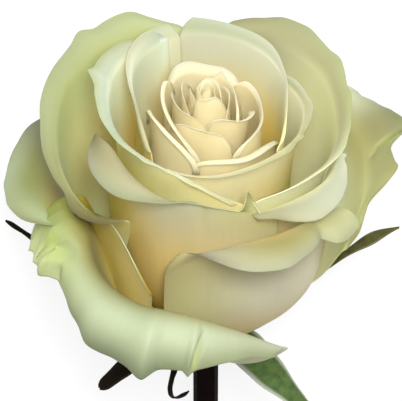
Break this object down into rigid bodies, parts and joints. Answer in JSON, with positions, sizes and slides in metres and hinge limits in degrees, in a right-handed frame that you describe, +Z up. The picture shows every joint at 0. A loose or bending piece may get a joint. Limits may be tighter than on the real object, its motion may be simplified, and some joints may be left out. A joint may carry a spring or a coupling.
{
  "type": "cut rose",
  "caption": "Cut rose with a full open bloom, turned-back outer petals, long narrow sepals and a short bare stem, lying on its side.",
  "frame": {"origin": "middle of the bounding box on the surface that the rose lies on, z = 0", "axes": "+Y along the rose on that surface, from the bloom towards the cut end of the stem; the bloom faces -Y; +Z up; +X to the bloom's left as it is seen from its face"},
  "size_m": [0.1124, 0.2316, 0.1016],
  "materials": {
    "outer_petal": "satin",
    "middle_petal": "satin",
    "inner_petal": "satin",
    "sepal": "satin",
    "receptacle": "satin",
    "stem": "satin"
  },
  "bodies": {
    "root": {"outer_petal_1": "outer_petal", "outer_petal_2": "outer_petal", "outer_petal_3": "outer_petal", "outer_petal_4": "outer_petal", "outer_petal_5": "outer_petal", "outer_petal_6": "outer_petal", "outer_petal_7": "outer_petal", "outer_petal_8": "outer_petal", "outer_petal_9": "outer_petal", "middle_petal_1": "middle_petal", "middle_petal_2": "middle_petal", "middle_petal_3": "middle_petal", "middle_petal_4": "middle_petal", "middle_petal_5": "middle_petal", "middle_petal_6": "middle_petal", "inner_petal_01": "inner_petal", "inner_petal_02": "inner_petal", "inner_petal_03": "inner_petal", "inner_petal_04": "inner_petal", "inner_petal_05": "inner_petal", "inner_petal_06": "inner_petal", "inner_petal_07": "inner_petal", "inner_petal_08": "inner_petal", "inner_petal_09": "inner_petal", "inner_petal_10": "inner_petal", "inner_petal_11": "inner_petal", "inner_petal_12": "inner_petal", "inner_petal_13": "inner_petal", "inner_petal_14": "inner_petal", "inner_petal_15": "inner_petal", "inner_petal_16": "inner_petal", "inner_petal_17": "inner_petal", "sepal_left": "sepal", "sepal_right": "sepal", "sepal_front_right": "sepal", "sepal_front_left": "sepal", "sepal_back": "sepal", "receptacle": "receptacle", "stem": "stem"}
  },
  "joints": []
}
